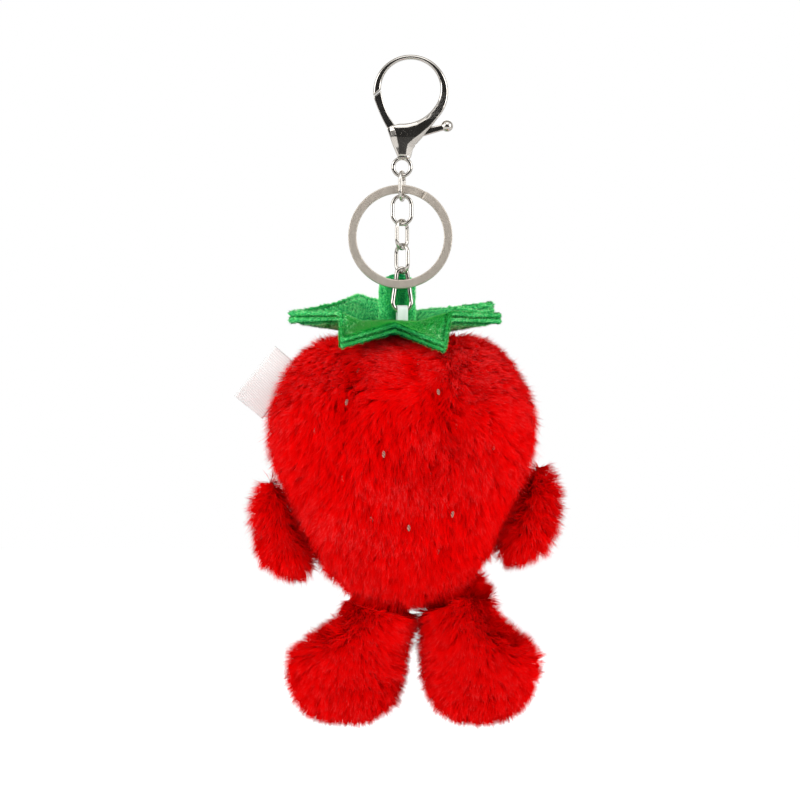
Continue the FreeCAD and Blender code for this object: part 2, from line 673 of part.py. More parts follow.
# ---------------------------------------------------------------- label and seeds
doc.recompute()
label = doc.addObject("Part::Box", "label_blank")
bind(label, Length="label_reach", Width="label_thickness", Height="label_length")
label_turn = Rotation(Vector(0, 1, 0), -(size("label_slope") - 90))
label_corner = Vector(0, -size("label_thickness") / 2, -size("label_length") / 2)
label.Placement = Placement(
    Vector(-fruit_side - size("label_stand"), 0, fruit_top - size("label_drop")) + label_turn.multVec(label_corner), label_turn)
finish(cut("label_trimmed", label, fruit), "care_label")


def seed_shape(across, down, way):
    """A small stitched pip that stands on the fruit's surface, long way up."""
    heart = Vector(across * size("fruit_width") / 2, 0, fruit_top - down * size("fruit_height"))
    ray = Part.makeLine(heart, heart + way * size("fruit_width"))
    spot = max((v.Point for v in ray.common(fruit.Shape).Vertexes), key=lambda p: p.dot(way))
    face = min(fruit.Shape.Faces, key=lambda f: f.distToShape(Part.Vertex(spot))[0])
    normal = face.normalAt(*face.Surface.parameter(spot))
    if normal.dot(way) < 0:
        normal = -normal
    pip = Part.makeSphere(size("seed_width") / 2)
    stretch = FreeCAD.Matrix()
    stretch.scale(Vector(1, size("seed_height") / size("seed_width"), size("seed_length") / size("seed_width")))
    pip = pip.transformGeometry(stretch)
    upright = Vector(0, 0, 1) - normal * normal.z
    turn = Rotation(upright.cross(normal), normal, upright, "YZX")
    pip.Placement = Placement(spot + normal * (size("seed_height") / 2 + size("seed_lift")), turn)
    return pip


pips = [seed_shape(across * side, down, Vector(0, -side, 0)) for side in (1, -1) for across, down in SEEDS]
feature("seed_stitches", Part.makeCompound(pips))

# ---------------------------------------------------------------- checks and files
doc.recompute()
for obj in doc.Objects:
    if "Invalid" in obj.State or "Error" in obj.State:
        raise RuntimeError(f"{obj.Name} did not build: {obj.State}")
for obj in finished:
    if obj.Shape.isNull() or not obj.Shape.isValid():
        raise RuntimeError(f"{obj.Label} has no valid shape")

os.makedirs("parts", exist_ok=True)
for obj in finished:
    obj.Shape.exportStep(f"parts/{obj.Label}.step")
    print(f"{obj.Label}: {len(obj.Shape.Solids)} solid, {obj.Shape.Volume:.1f} mm3")
for name, height in [("eye", -size("eye_drop") + size("eye_wire") / 2)] + [
        (f"link {n}", low) for n, (top, low) in enumerate(link_heights, start=1)] + [
        ("connector", connector_bottom)]:
    print(f"{name}: lower wire at {height:.3f}")
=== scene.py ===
import math

import bmesh
import bpy
import numpy as np
from mathutils import Matrix, Vector
from mathutils.kdtree import KDTree


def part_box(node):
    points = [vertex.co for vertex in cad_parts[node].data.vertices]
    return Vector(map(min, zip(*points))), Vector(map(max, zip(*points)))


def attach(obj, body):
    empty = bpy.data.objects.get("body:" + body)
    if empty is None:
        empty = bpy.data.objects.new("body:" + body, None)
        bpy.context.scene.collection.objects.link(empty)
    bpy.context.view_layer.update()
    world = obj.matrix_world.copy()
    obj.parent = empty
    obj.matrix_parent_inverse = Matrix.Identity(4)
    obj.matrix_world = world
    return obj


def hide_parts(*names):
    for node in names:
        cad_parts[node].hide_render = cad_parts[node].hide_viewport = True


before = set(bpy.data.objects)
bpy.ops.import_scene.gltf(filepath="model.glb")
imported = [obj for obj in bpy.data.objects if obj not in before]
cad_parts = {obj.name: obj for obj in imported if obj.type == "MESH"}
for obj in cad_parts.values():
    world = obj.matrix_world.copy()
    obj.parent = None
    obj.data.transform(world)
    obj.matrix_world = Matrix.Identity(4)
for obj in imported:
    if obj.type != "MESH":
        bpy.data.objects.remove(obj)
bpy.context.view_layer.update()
scene = bpy.context.scene
mm = 0.001
weldGap = 1e-6


# Shader maths: a wire is one output of a node, and sums on it add Math nodes.
class Wire:
    def __init__(self, shader, socket):
        self.shader, self.socket = shader, socket

    def combine(self, operation, first, second):
        return self.shader.node("ShaderNodeMath", {"operation": operation}, {0: first, 1: second})

    def __add__(self, other):
        return self.combine("ADD", self, other)

    def __sub__(self, other):
        return self.combine("SUBTRACT", self, other)

    def __rsub__(self, other):
        return self.combine("SUBTRACT", other, self)

    def __mul__(self, other):
        return self.combine("MULTIPLY", self, other)

    __radd__, __rmul__ = __add__, __mul__


class Shader:
    def __init__(self, owner):
        owner.use_nodes = True
        self.owner, self.tree = owner, owner.node_tree

    def node(self, kind, settings=None, values=None, out=0):
        made = self.tree.nodes.new(kind)
        for key, value in (settings or {}).items():
            if key == "stops":
                ramp = made.color_ramp
                while len(ramp.elements) < len(value):
                    ramp.elements.new(0.5)
                for stop, (place, colour) in zip(ramp.elements, value):
                    stop.position, stop.color = place, colour
            else:
                setattr(made, key, value)
        for key, value in (values or {}).items():
            self.plug(made.inputs[key], value)
        return Wire(self, made.outputs[out])

    def plug(self, socket, value):
        if isinstance(value, Wire):
            self.tree.links.new(value.socket, socket)
        else:
            socket.default_value = value

    def surface(self, **values):
        for key, value in values.items():
            self.plug(self.tree.nodes["Principled BSDF"].inputs[key.replace("_", " ")], value)

    def here(self, stretch=(1, 1, 1)):
        place = self.node("ShaderNodeTexCoord", out=3)
        return self.node("ShaderNodeMapping", {}, {0: place, 3: stretch})

    def noise(self, scale, detail=3, stretch=(1, 1, 1)):
        return self.node("ShaderNodeTexNoise", {}, {"Vector": self.here(stretch), "Scale": scale, "Detail": detail})

    def blendColours(self, share, first, second):
        return self.node("ShaderNodeMix", {"data_type": "RGBA"}, {0: share, 6: first, 7: second}, out=2)

    def relief(self, height, depth):
        bump = self.node("ShaderNodeBump", {}, {"Height": height, "Distance": depth, "Strength": 1.0})
        self.surface(Normal=bump)


def paint(red, green, blue):  # a colour as it shows, 0 to 255
    return tuple((part / 255 / 12.92 if part < 11 else ((part / 255 + 0.055) / 1.055) ** 2.4)
                 for part in (red, green, blue)) + (1.0,)


def newFinish(name, **looks):
    finish = Shader(bpy.data.materials.new(name))
    finish.surface(**looks)
    return finish


# Pile fibres: dark at the root as painted shade deep in the pile, bright along the fibre, paler at the tip as a
# painted sheen. The lift is where on the ramp the root starts. The tone, random with painted light and shade added,
# shifts the fibre along the ramp.
def pileFinish(name, stops, lift, **looks):
    finish = newFinish(name, **looks)
    rise = finish.node("ShaderNodeAttribute", {"attribute_name": "pileRise"}, out=2)
    toneAndShade = finish.node("ShaderNodeAttribute", {"attribute_name": "pileTone"}, out=2)
    finish.surface(Base_Color=finish.node("ShaderNodeValToRGB", {"stops": stops},
                                          {0: rise * (1 - lift) + (toneAndShade - 0.5) + lift}))
    return finish


redPile = pileFinish("redPile", [
    (0.0, paint(84, 0, 0)), (0.3, paint(206, 0, 0)), (0.5, paint(242, 0, 0)), (0.8, paint(254, 2, 2)),
    (0.93, paint(255, 22, 22)), (1.0, paint(255, 62, 62)),
], 0.3, Roughness=1.0, Specular_IOR_Level=0.0)
greenNap = pileFinish("greenNap", [
    (0.0, paint(0, 76, 50)), (0.25, paint(8, 156, 88)), (0.5, paint(82, 240, 130)), (0.8, paint(134, 250, 156)),
    (1.0, paint(196, 246, 184)),
], 0.1, Roughness=1.0, Specular_IOR_Level=0.0)

redBacking = newFinish("redBacking", Roughness=0.9, Specular_IOR_Level=0.1)
redBacking.surface(Base_Color=redBacking.blendColours(redBacking.noise(900), paint(170, 0, 0), paint(220, 2, 2)))
redBacking.relief(redBacking.noise(2500), 0.0002)

greenCloth = newFinish("greenCloth", Roughness=1.0, Specular_IOR_Level=0.05)
greenCloth.surface(Base_Color=greenCloth.blendColours(greenCloth.noise(400), paint(12, 140, 66), paint(60, 190, 84)))
greenCloth.relief(greenCloth.noise(3000), 0.0002)

polyesterFill = newFinish("polyesterFill", Roughness=0.9)
polyesterFill.surface(Base_Color=polyesterFill.blendColours(polyesterFill.noise(300, 5),
                                                            paint(225, 222, 214), paint(246, 244, 240)))
polyesterFill.relief(polyesterFill.noise(700, 6), 0.0006)

seedThread = newFinish("seedThread", Roughness=0.6)
seedTwist = seedThread.node("ShaderNodeTexWave", {"bands_direction": "DIAGONAL"},
                            {"Vector": seedThread.here(), "Scale": 900, "Distortion": 1.0}, out=1)
seedThread.surface(Base_Color=seedThread.blendColours(seedTwist, paint(120, 52, 44), paint(204, 150, 132)))
seedThread.relief(seedTwist, 0.0002)

nickel = newFinish("nickelPlate", Metallic=1.0)
nickelCloud = nickel.noise(220, 4)
nickel.surface(Base_Color=nickel.blendColours(nickelCloud, paint(186, 180, 172), paint(214, 209, 202)),
               Roughness=nickelCloud * 0.12 + 0.08)

satinRing = newFinish("satinRing", Metallic=0.75)
satinGrain = satinRing.noise(900, 5, (1, 1, 0.35))
satinRing.surface(Base_Color=satinRing.blendColours(satinGrain, paint(184, 174, 162), paint(204, 194, 182)),
                  Roughness=satinGrain * 0.16 + 0.34)
satinRing.relief(satinGrain, 0.00002)

springSteel = newFinish("springSteel", Metallic=1.0)
springSteel.surface(Base_Color=springSteel.blendColours(springSteel.noise(500), paint(150, 148, 146),
                                                        paint(190, 188, 186)), Roughness=0.3)

paleRibbon = newFinish("paleRibbon", Roughness=0.45, Sheen_Weight=0.3)
ribbonWeave = paleRibbon.node("ShaderNodeTexWave", {"bands_direction": "X"},
                              {"Vector": paleRibbon.here(), "Scale": 900, "Distortion": 0.4}, out=1)
paleRibbon.surface(Base_Color=paleRibbon.blendColours(ribbonWeave, paint(202, 212, 208), paint(232, 238, 235)))
paleRibbon.relief(ribbonWeave, 0.00005)

labelCloth = newFinish("labelCloth", Roughness=0.55)
labelWeave = labelCloth.node("ShaderNodeTexWave", {"bands_direction": "DIAGONAL"},
                             {"Vector": labelCloth.here(), "Scale": 700, "Distortion": 0.6}, out=1)
labelCloth.surface(Base_Color=labelCloth.blendColours(labelWeave * 0.6 + labelCloth.noise(120) * 0.4,
                                                      paint(222, 220, 218), paint(246, 245, 244)))
labelCloth.relief(labelWeave, 0.00005)
print("finishes ready")


def newPiece(name, shape, finish, body):
    mesh = shape
    if isinstance(shape, bmesh.types.BMesh):
        mesh = bpy.data.meshes.new(name)
        shape.to_mesh(mesh)
        shape.free()
    mesh.shade_smooth()
    mesh.materials.clear()
    mesh.materials.append(finish.owner)
    piece = bpy.data.objects.new(name, mesh)
    scene.collection.objects.link(piece)
    if body:
        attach(piece, body)
    return piece


def settle(piece):  # turns the modifiers into the piece's own mesh
    graph = bpy.context.evaluated_depsgraph_get()
    mesh = bpy.data.meshes.new_from_object(piece.evaluated_get(graph))
    piece.modifiers.clear()
    piece.data = mesh
    mesh.shade_smooth()


def mergedCopy(*nodes):
    shell = bmesh.new()
    for node in nodes:
        shell.from_mesh(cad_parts[node].data)
    bmesh.ops.remove_doubles(shell, verts=shell.verts, dist=weldGap)
    return shell


def placesOf(shape):
    return np.array([tuple(vert.co) for vert in shape.verts])


def treeOf(points):
    tree = KDTree(len(points))
    for number, point in enumerate(points):
        tree.insert(point, number)
    tree.balance()
    return tree


def islandsOf(shape):  # the vertices of each separate shell
    todo, islands = set(shape.verts), []
    for first in shape.verts:
        if first not in todo:
            continue
        todo.discard(first)
        ready = [first]
        islands.append([first])
        while ready:
            for edge in ready.pop().link_edges:
                for vert in edge.verts:
                    if vert in todo:
                        todo.discard(vert)
                        ready.append(vert)
                        islands[-1].append(vert)
    return islands


def dropInnerShells(shape):  # a remesh leaves loose shells round every inner gap
    islands = sorted(islandsOf(shape), key=lambda part: max(v.co.x for v in part) - min(v.co.x for v in part))
    bmesh.ops.delete(shape, geom=[v for island in islands[:-1] for v in island], context="VERTS")


def remeshed(shape, voxel):
    rough = newPiece("rough", shape, redBacking, None)
    even = rough.modifiers.new("even", "REMESH")
    even.mode, even.voxel_size = "VOXEL", voxel
    settle(rough)
    shape = bmesh.new()
    shape.from_mesh(rough.data)
    bpy.data.objects.remove(rough)
    dropInnerShells(shape)
    bmesh.ops.recalc_face_normals(shape, faces=shape.faces)
    return shape


def smoothed(shape, rounds):
    for turn in range(rounds):
        bmesh.ops.smooth_vert(shape, verts=shape.verts, factor=0.5,
                              use_axis_x=True, use_axis_y=True, use_axis_z=True)
    shape.normal_update()
    return shape


def softShell(nodes, voxel, inset, rounds, lastRounds=2):  # one rounded skin round the nodes, drawn in by the inset
    shape = smoothed(remeshed(mergedCopy(*nodes), voxel), rounds)
    for vert in shape.verts:
        vert.co -= vert.normal * inset
    return smoothed(shape, lastRounds)


# Where the seeds are stitched, from the middle of each pip in the CAD node.
def seedSpots():
    pips = mergedCopy("seed_stitches")
    spots = [sum((vert.co for vert in pip), Vector()) / len(pip) for pip in islandsOf(pips)]
    pips.free()
    return sorted(spots, key=lambda spot: (round(spot.y > 0), round(spot.z, 5), round(spot.x, 5)))


spots = seedSpots()
spotArray = np.array([tuple(spot) for spot in spots])
print("seeds:", len(spots))


# One fibre of pile: a flat pointed blade. Its rows are counted along, its sides across.
def bladeShape(rows):
    blade = bmesh.new()
    bmesh.ops.create_grid(blade, x_segments=1, y_segments=rows, size=1)
    tip = [vert for vert in blade.verts if vert.co.y > 0.999]
    bmesh.ops.pointmerge(blade, verts=tip, merge_co=(0, 1, 0))
    bmesh.ops.triangulate(blade, faces=blade.faces)
    blade.verts.index_update()
    across = np.array([vert.co.x for vert in blade.verts])
    along = np.array([(vert.co.y + 1) / 2 for vert in blade.verts])
    faces = np.array([[vert.index for vert in face.verts] for face in blade.faces])
    blade.free()
    return across, along, faces


def unit(rows):
    return rows / np.maximum(np.linalg.norm(rows, axis=1, keepdims=True), 1e-12)


# A slow wavy field of directions, so that the pile lies in soft drifts.
def drift(points, size, seed, waves=6, sizes=(0.6, 1.6)):
    rng = np.random.default_rng(seed)
    total = np.zeros_like(points)
    for wave in range(waves):
        way = rng.normal(size=3)
        phase = rng.uniform(0, 2 * math.pi, 3)
        turn = points @ way / size * rng.uniform(*sizes)
        total += np.sin(turn[:, None] + phase)
    return total * 2 / waves


def alongSkin(way, normals, share=1.0):  # takes that share of what points off the skin out of each direction
    return way - normals * (way * normals).sum(1)[:, None] * share


def scatter(shell, perSquareMm, rng):  # even random points on the shell's triangles, with their normals
    shell.calc_loop_triangles()
    corners = np.empty(len(shell.loop_triangles) * 3, np.int32)
    shell.loop_triangles.foreach_get("vertices", corners)
    corners = corners.reshape(-1, 3)
    verts = np.empty(len(shell.vertices) * 3)
    shell.vertices.foreach_get("co", verts)
    normals = np.empty(len(shell.vertices) * 3)
    shell.vertex_normals.foreach_get("vector", normals)
    verts, normals = verts.reshape(-1, 3), normals.reshape(-1, 3)
    a, b, c = (verts[corners[:, n]] for n in range(3))
    area = np.linalg.norm(np.cross(b - a, c - a), axis=1) / 2
    count = int(area.sum() * 1e6 * perSquareMm)  # the area is in square metres
    pick = rng.choice(len(area), count, p=area / area.sum())
    share = rng.uniform(size=(count, 2))
    over = share.sum(1) > 1
    share[over] = 1 - share[over]
    share = np.column_stack([1 - share.sum(1), share])[:, :, None]
    return (verts[corners[pick]] * share).sum(1), unit((normals[corners[pick]] * share).sum(1))


# What every pile shares: how its fibres differ in length and width, where they bend, and how much
# of their bunching starts at the bend.
fibreLooks = {"lengths": (0.78, 1.12), "tuftLength": 0.07, "longer": 1.25, "bendAt": 0.5, "bendBunch": 0.35,
              "tipBunch": (0.5, 1.0), "rootBias": 0.5, "twist": 0.7, "widths": (0.7, 1.2), "taper": 0.85,
              "tuftTone": 0.5}


def growPile(names, shell, looks, comb, finish, body, part=None):
    looks = {**fibreLooks, **looks}
    rng = np.random.default_rng(looks["seed"])
    root, normal = scatter(shell, looks["perSquareMm"], rng)
    count = len(root)

    # each fibre belongs to the nearest tuft, which leans and bunches its fibres
    tufts = max(1, count // looks["perTuft"])
    tree = treeOf(root[:tufts])
    tuft = np.array([tree.find(spot)[1] for spot in root])
    way, reach, lift = comb(root, normal)
    rootLift, tipLift = (looks[key] * lift[:, None] for key in ("rootLift", "tipLift"))
    tuftLean = rng.normal(size=(tufts, 3)) * looks["tuftLean"]
    wander = drift(root, looks["driftSize"], looks["seed"] + 1) * looks["drift"]
    stray = rng.normal(size=(count, 3)) * looks["stray"]
    bias = tuftLean[tuft] + wander + stray
    start = unit(normal * rootLift + way * (1 - rootLift) + bias * looks["rootBias"])
    end = unit(normal * tipLift + way * (1 - tipLift) + bias)
    length = looks["length"] * reach * rng.uniform(*looks["lengths"], count)
    length *= (1 + rng.normal(size=tufts) * looks["tuftLength"])[tuft]
    length[rng.uniform(size=count) < looks["longShare"]] *= looks["longer"]
    bend = root + start * (length * looks["bendAt"])[:, None]
    tip = bend + end * (length * (1 - looks["bendAt"]))[:, None]
    bend += (bend[tuft] - bend) * looks["bunch"] * looks["bendBunch"]
    tip += (tip[tuft] - tip) * looks["bunch"] * rng.uniform(*looks["tipBunch"], count)[:, None]

    # the blade lies across the fibre's run, turned a little about it
    across, along, faces = bladeShape(looks["rows"])
    flat = unit(np.cross(tip - root, normal))
    twist = rng.uniform(-looks["twist"], looks["twist"], count)[:, None]
    flat = unit(flat * np.cos(twist) + normal * np.sin(twist))
    wide = looks["width"] / 2 * rng.uniform(*looks["widths"], count)
    t = along[None, :, None]
    points = (root[:, None] * (1 - t) ** 2 + bend[:, None] * 2 * t * (1 - t) + tip[:, None] * t**2
              + flat[:, None] * (across * (1 - looks["taper"] * along**2))[None, :, None] * wide[:, None, None])
    toneAndShade = 0.5 + looks["speckle"] * (rng.normal(size=count) + (rng.normal(size=tufts) * looks["tuftTone"])[tuft])
    # the shade adds painted light and shade to the random tone
    if "shade" in looks:
        toneAndShade += looks["shade"](root, normal)
    toneAndShade = np.clip(toneAndShade, 0, 1)

    # it is lit mostly as the skin under it, so that the pile shades softly
    face = unit(np.cross(flat, unit(tip - root)))
    face *= np.sign((face * normal).sum(1))[:, None]
    upright = unit(normal * np.array([1, 1, looks["level"]]))
    soft = unit(upright * looks["soften"] + face * (1 - looks["soften"]))
    group = np.zeros(count, int) if part is None else part(root)
    for number, name in enumerate(names):
        held = group == number
        pileMesh(name, points[held], toneAndShade[held], soft[held], (across, along, faces), finish, body)


def pileMesh(name, points, toneAndShade, soft, blade, finish, body):
    across, along, faces = blade
    count, size = len(points), len(across)
    mesh = bpy.data.meshes.new(name)
    mesh.vertices.add(count * size)
    mesh.vertices.foreach_set("co", points.reshape(-1))
    loops = (faces[None] + (np.arange(count) * size)[:, None, None]).reshape(-1).astype(np.int32)
    mesh.loops.add(len(loops))
    mesh.loops.foreach_set("vertex_index", loops)
    mesh.polygons.add(len(loops) // 3)
    mesh.polygons.foreach_set("loop_start", np.arange(0, len(loops), 3, dtype=np.int32))
    mesh.update(calc_edges=True)
    rise, tonesAndShade = np.tile(along, count), np.repeat(toneAndShade, size)
    mesh.attributes.new("pileRise", "FLOAT", "POINT").data.foreach_set("value", rise)
    mesh.attributes.new("pileTone", "FLOAT", "POINT").data.foreach_set("value", tonesAndShade)
    chart = mesh.uv_layers.new(name="OFBake")  # rise across and tone with its painted light and shade up, kept off the chart's edges
    spread = np.column_stack([rise * 0.96 + 0.02, tonesAndShade * 0.94 + 0.03 + np.tile(across, count) * 0.01])
    chart.data.foreach_set("uv", spread[loops].reshape(-1))
    newPiece(name, mesh, finish, body)
    mesh.normals_split_custom_set_from_vertices(np.repeat(soft, size, axis=0))
    print(name, count, "fibres,", len(loops) // 3, "triangles")


# Stuffed strawberry: a padded backing with a puckered stitch at each seed.
fruitLooks = {
    "voxel": 2 * mm, "inset": 3.0 * mm, "rounds": 3, "stitchDepth": 3.2 * mm, "stitchWide": 3.2 * mm,
    "stitchTall": 6.0 * mm, "stitchRound": 0.6, "lumpSize": 9 * mm, "lump": 0.5 * mm, "lumpSeed": 5,
    "crown": 2.2 * mm, "crownSlope": 1.5, "pressure": 4.0, "frames": 20, "furthest": 1.0 * mm,
    "pinShare": 0.6, "pinTop": 2 * mm, "fillVoxel": 2.5 * mm, "fillInset": 5 * mm, "fillRounds": 2,
}


def nearStitch(points, wide, tall):  # 1 at a stitch, 0 away from it
    most = np.zeros(len(points))
    for spot in spotArray:
        gap = points - spot
        side = np.hypot(gap[:, 0], gap[:, 1] * fruitLooks["stitchRound"]) / wide
        most = np.maximum(most, np.exp(-(side**2 + (gap[:, 2] / tall) ** 2)))
    return most


def stuffedFruit(looks):
    shape = softShell(["fruit_front_panel", "fruit_back_panel", "fruit_stuffing"],
                      looks["voxel"], looks["inset"], looks["rounds"])
    places = placesOf(shape)
    depth = nearStitch(places, looks["stitchWide"], looks["stitchTall"]) * looks["stitchDepth"]
    lumps = drift(places, looks["lumpSize"], looks["lumpSeed"])[:, 0] * looks["lump"]
    shape.normal_update()
    for vert, push in zip(shape.verts, depth - lumps):
        rise = looks["crown"] * min(max(vert.normal.z * looks["crownSlope"], 0), 1)
        vert.co -= vert.normal * (float(push) - rise)
    piece = newPiece("fruitBacking", shape, redBacking, "strawberry")
    before = np.array([tuple(v.co) for v in piece.data.vertices])
    pinned = [n for n, push in enumerate(depth) if push > looks["stitchDepth"] * looks["pinShare"]]
    pinLevel = before[:, 2].max() - looks["pinTop"]
    pinned += [n for n, place in enumerate(before) if place[2] > pinLevel]
    piece.vertex_groups.new(name="stitches").add(pinned, 1.0, "REPLACE")
    cloth = piece.modifiers.new("stuffing", "CLOTH")
    cloth.settings.use_pressure = True
    cloth.settings.uniform_pressure_force = looks["pressure"]
    cloth.settings.effector_weights.gravity = 0
    cloth.settings.vertex_group_mass = "stitches"
    cloth.point_cache.frame_start, cloth.point_cache.frame_end = 1, looks["frames"]
    for number in range(1, looks["frames"] + 1):
        scene.frame_set(number)
    settle(piece)
    after = np.array([tuple(v.co) for v in piece.data.vertices])
    move = after - before
    far = np.linalg.norm(move, axis=1, keepdims=True)
    move *= np.minimum(1, looks["furthest"] / np.maximum(far, 1e-9))
    piece.data.vertices.foreach_set("co", (before + move).reshape(-1))
    scene.frame_set(1)
    piece.vertex_groups.clear()
    finer = piece.modifiers.new("rounder", "SUBSURF")
    finer.levels = finer.render_levels = 1
    settle(piece)
    return piece


fruitBacking = stuffedFruit(fruitLooks)
fillShape = softShell(["fruit_stuffing"], fruitLooks["fillVoxel"], fruitLooks["fillInset"], fruitLooks["fillRounds"])
fruitFill = newPiece("fruitFill", fillShape, polyesterFill, "strawberry")
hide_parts("fruit_stuffing")
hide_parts("fruit_front_panel", "fruit_back_panel")
print("strawberry stuffed")

fruitLow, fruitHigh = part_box("fruit_front_panel")
combLooks = {
    "outward": 0.5, "sideways": 1.5, "onSkin": 0.85, "sweep": 1.8, "sweepWide": 12 * mm, "sweepSlope": 1.6,
    "sweepLay": 0.55, "stitchWide": 2.4 * mm, "stitchTall": 4.6 * mm, "parting": 0.7, "partingTall": 0.3,
    "stitchShort": 0.5, "topShort": 0.35, "topSlope": 1.5,
}
# Painted shade at the stitches (core and halo: wide, tall, share), a random drift of tone, and painted light on upward
# faces (top).
stitchShadeLooks = {"core": (1.6 * mm, 3.6 * mm, 0.55), "halo": (3.4 * mm, 6.5 * mm, 0.12), "driftSize": 7 * mm,
               "driftSeed": 9, "drift": 0.05, "top": 0.2}


def fruitComb(points, normals):  # brushed down and a little outwards, laid to one side under the cap
    looks = combLooks
    way = points * np.array([1, 1, 0]) / ((fruitHigh[0] - fruitLow[0]) / 2) * looks["outward"]
    way[:, 0] *= looks["sideways"]
    way[:, 2] = -1.0
    swept = np.clip(normals[:, 2] * looks["sweepSlope"], 0, 1) * np.exp(-(points[:, 0] / looks["sweepWide"]) ** 2)
    way[:, 0] -= looks["sweep"] * swept
    way = alongSkin(way, normals, looks["onSkin"])
    stitch = nearStitch(points, looks["stitchWide"], looks["stitchTall"])
    nearest = spotArray[np.argmin(((points[:, None] - spotArray[None]) ** 2).sum(2), axis=1)]
    away = points - nearest
    away[:, 2] *= looks["partingTall"]
    way = unit(way) + unit(away) * stitch[:, None] * looks["parting"]
    short = 1 - looks["topShort"] * np.clip(normals[:, 2] * looks["topSlope"], 0, 1)
    return unit(way), (1 - stitch * looks["stitchShort"]) * short, 1 - swept * looks["sweepLay"]


def stitchShade(points, normals):  # painted shade in the dimples, paler on the swell between them, painted light on upward faces
    looks = stitchShadeLooks
    dimpleShade = sum(nearStitch(points, wide, tall) * share for wide, tall, share in (looks["core"], looks["halo"]))
    lumps = drift(points, looks["driftSize"], looks["driftSeed"])[:, 0] * looks["drift"]
    # painted light on upward faces, painted shade at the stitches
    return lumps + looks["top"] * np.clip(normals[:, 2], 0, 1) ** 2 - dimpleShade


fruitPile = {
    "seed": 11, "perSquareMm": 13, "perTuft": 22, "length": 5.9 * mm, "width": 0.21 * mm, "rows": 2,
    "rootLift": 0.62, "tipLift": 0.36, "tuftLean": 0.16, "driftSize": 6 * mm, "drift": 0.2, "stray": 0.17,
    "bunch": 0.16, "longShare": 0.05, "soften": 0.88, "level": 0.3, "speckle": 0.05, "shade": stitchShade,
}
growPile(["fruitPileFrontLeft", "fruitPileFrontRight", "fruitPileBackLeft", "fruitPileBackRight"],
         fruitBacking.data, fruitPile, fruitComb, redPile, "strawberry",
         part=lambda root: (root[:, 0] > 0) + 2 * (root[:, 1] > 0))
print("strawberry's pile grown")

# Seeds: small twisted stitches, most of them sunk in the pile. On the back every fifth one shows.
seedLooks = {"shrink": 0.62, "proud": 0.9 * mm, "sunk": 3.4 * mm, "sideways": 0.5, "backStep": 5,
             "shown": [(-15.9, -98.7), (2.0, -134.1), (14.4, -130.1), (10.4, -95.8), (-5.2, -113.0)]}


def seedStitches(looks):
    pips = mergedCopy("seed_stitches")
    tree = treeOf(spots)
    front = [n for n, spot in enumerate(spots) if spot.y < 0]
    shown = {min(front, key=lambda n: math.hypot(spots[n].x - x * mm, spots[n].z - z * mm))
             for x, z in looks["shown"]}
    for vert in pips.verts:
        number = tree.find(vert.co)[1]
        spot = spots[number]
        inward = Vector((-spot.x * looks["sideways"], -spot.y, 0)).normalized()
        seen = number in shown or number % looks["backStep"] == 0 and spot.y > 0
        sunk = looks["proud"] if seen else looks["sunk"]
        vert.co = spot + (vert.co - spot) * looks["shrink"] + inward * sunk
    seeds = newPiece("seedStitches", pips, seedThread, "strawberry")
    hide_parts("seed_stitches")


seedStitches(seedLooks)

# Arms and legs: the same pile fabric, with fibres that stand out all round.
limbLooks = {"voxel": 1.1 * mm, "inset": 2.1 * mm, "rounds": 1, "spread": 0.8, "fall": 0.36, "onSkin": 0.85,
             "topLift": 0.35}
limbPile = {
    "seed": 31, "perSquareMm": 13, "perTuft": 20, "length": 5.2 * mm, "width": 0.21 * mm, "rows": 2,
    "rootLift": 0.66, "tipLift": 0.46, "tuftLean": 0.15, "driftSize": 6 * mm, "drift": 0.22, "stray": 0.2,
    "bunch": 0.14, "longShare": 0.05, "soften": 0.88, "level": 0.4, "speckle": 0.05,
}


def limbComb(limb, looks):  # brushed down and out from the limb's middle, standing up on its top
    low, high = (np.array(corner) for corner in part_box(f"{limb}_front_panel"))
    centre = (low + high) / 2 * np.array([1, 0, 1])

    def comb(points, normals):
        way = (points - centre) / np.abs(high - low).max()
        way[:, 2] = way[:, 2] * looks["spread"] - looks["fall"]
        way = unit(alongSkin(way, normals, looks["onSkin"]))
        return way, np.ones(len(points)), 1 + looks["topLift"] * np.clip(normals[:, 2], 0, 1)

    return comb


for number, limb in enumerate(["left_arm", "right_arm", "left_leg", "right_leg"]):
    shape = softShell([f"{limb}_front_panel", f"{limb}_back_panel", f"{limb}_stuffing"],
                      limbLooks["voxel"], limbLooks["inset"], limbLooks["rounds"])
    name = limb.split("_")[0] + limb.split("_")[1].title()
    backing = newPiece(name + "Backing", shape, redBacking, limb)
    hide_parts(f"{limb}_front_panel", f"{limb}_back_panel", f"{limb}_stuffing")
    growPile([name + "Pile"], backing.data, {**limbPile, "seed": limbPile["seed"] + number},
             limbComb(limb, limbLooks), redPile, limb)
print("limbs made")

# Leafy cap and stem: velvet with a short nap over rounded cloth, hemmed just inside the rim.
velvetLooks = {
    "voxel": 0.5 * mm, "rounds": 3, "thin": 0.2 * mm, "hemIn": 1.25 * mm, "hemWide": 0.42 * mm, "hemDeep": 0.5 * mm,
    "pucker": 0.22 * mm, "puckerReach": 2.3 * mm, "puckers": (2.1, 0.37), "swell": 0.4 * mm, "swellWide": 0.9 * mm,
    "tipFrom": 25 * mm, "tipSwell": 0.08, "rimFrom": 13.5 * mm, "rimSteps": 40, "combDrop": 5 * mm,
}
napPile = {
    "seed": 51, "perSquareMm": 17, "perTuft": 12, "length": 0.8 * mm, "width": 0.2 * mm, "rows": 1,
    "rootLift": 0.6, "tipLift": 0.4, "tuftLean": 0.12, "driftSize": 4 * mm, "drift": 0.35, "stray": 0.18,
    "bunch": 0.15, "longShare": 0.02, "soften": 0.95, "level": 0.7, "speckle": 0.1,
}
capCentre = np.array([-1.9 * mm, 2.0 * mm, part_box("leaf_cap_top")[1][2]])
